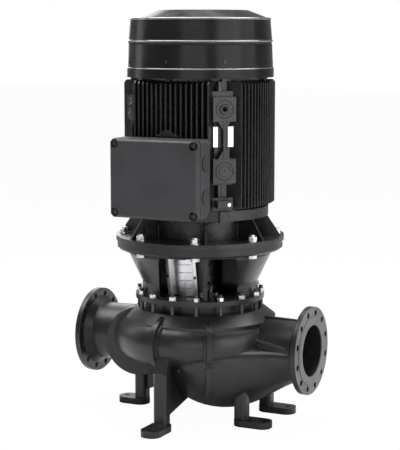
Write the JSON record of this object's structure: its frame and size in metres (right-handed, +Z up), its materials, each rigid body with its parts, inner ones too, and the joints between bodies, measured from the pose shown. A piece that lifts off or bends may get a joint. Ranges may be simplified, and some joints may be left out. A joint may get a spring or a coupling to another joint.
{
  "type": "circulation pump",
  "caption": "Large vertical in-line circulation pump: volute casing with pipe flanges on feet, lantern stool, coupling, and a ribbed flange motor with terminal box and fan cover.",
  "frame": {"origin": "on the floor under the feet, on the shaft axis", "axes": "+Z up along the shaft, +X along the pipe axis towards the suction flange, -Y towards the terminal box"},
  "size_m": [0.96, 0.906, 1.586],
  "materials": {
    "casing_paint": "satin black paint on a sand-cast surface",
    "motor_paint": "satin black paint on a ribbed casting",
    "box_paint": "matt dark grey paint",
    "sheet_paint": "smooth semi-gloss black paint on sheet steel",
    "grey_sheet": "matt grey paint on sheet steel",
    "machined_steel": "turned and ground steel",
    "dark_steel": "black phosphated steel",
    "zinc_steel": "bright zinc plate",
    "stainless_sheet": "pickled stainless sheet",
    "bare_iron": "as cast with machined faces",
    "bronze": "cast bronze",
    "rubber_seal": "black rubber",
    "winding": "varnished copper winding",
    "black_plastic": "moulded black plastic",
    "bright_plate": "bare bright plate"
  },
  "bodies": {
    "casing": {"volute_casing": "casing_paint", "casing_wear_ring": "bronze", "cover_gasket": "rubber_seal", "pump_cover": "casing_paint", "cover_studs": "dark_steel", "cover_nuts": "zinc_steel", "seal_stationary_seat": "rubber_seal", "seal_gland": "machined_steel", "seal_gland_screws": "zinc_steel", "motor_stool": "casing_paint", "coupling_guard_front": "stainless_sheet", "coupling_guard_rear": "grey_sheet", "guard_screws": "dark_steel", "air_vent_valve": "dark_steel", "flange_end_shield": "motor_paint", "stator_frame": "motor_paint", "stator_core": "bare_iron", "stator_windings": "winding", "drive_end_bearing_outer_ring": "machined_steel", "drive_end_bearing_cap": "bare_iron", "top_bearing_outer_ring": "machined_steel", "shaft_seal_ring": "rubber_seal", "top_end_shield": "motor_paint", "fan_cover": "sheet_paint", "fan_cover_screws": "dark_steel", "rain_canopy": "sheet_paint", "canopy_posts": "machined_steel", "terminal_box_base": "box_paint", "terminal_box_gasket": "rubber_seal", "terminal_box_lid": "box_paint", "lid_screws": "dark_steel", "cable_entry_plugs": "black_plastic", "terminal_board": "black_plastic", "terminal_studs": "bronze", "motor_bolts": "zinc_steel", "motor_nuts": "zinc_steel", "motor_washers": "zinc_steel", "bare_nameplates": "bright_plate", "earth_terminal": "motor_paint", "earth_screw": "zinc_steel", "shield_screws": "dark_steel"},
    "rotor": {"pump_shaft": "machined_steel", "impeller": "bronze", "impeller_key": "machined_steel", "impeller_nut": "machined_steel", "seal_rotating_ring": "machined_steel", "coupling_half_left": "dark_steel", "coupling_half_right": "dark_steel", "coupling_screws": "dark_steel", "motor_shaft": "machined_steel", "rotor_core": "bare_iron", "drive_end_bearing_inner_ring": "machined_steel", "top_bearing_inner_ring": "machined_steel", "cooling_fan": "black_plastic"},
    "drive_end_cage": {"drive_end_bearing_cage": "bronze", "drive_end_bearing_balls": "machined_steel"},
    "top_cage": {"top_bearing_cage": "bronze", "top_bearing_balls": "machined_steel"},
    "vent_screw": {"air_vent_screw": "dark_steel"}
  },
  "joints": [
    {"name": "rotor_spin", "type": "hinge", "parent": "casing", "child": "rotor", "pos_m": [0, 0, 0.5], "axis": [0, 0, 1], "continuous": true},
    {"name": "drive_end_cage_spin", "type": "hinge", "parent": "casing", "child": "drive_end_cage", "pos_m": [0, 0, 0.743], "axis": [0, 0, 1], "continuous": true},
    {"name": "top_cage_spin", "type": "hinge", "parent": "casing", "child": "top_cage", "pos_m": [0, 0, 1.344], "axis": [0, 0, 1], "continuous": true},
    {"name": "vent_screw_turn", "type": "hinge", "parent": "casing", "child": "vent_screw", "pos_m": [0.12067, -0.15445, 0.52], "axis": [0, 0, 1], "range_deg": [0, 270]}
  ],
  "couplings": [
    {"joint": "drive_end_cage_spin", "follows": "rotor_spin", "ratio": 0.4143},
    {"joint": "top_cage_spin", "follows": "rotor_spin", "ratio": 0.42}
  ]
}
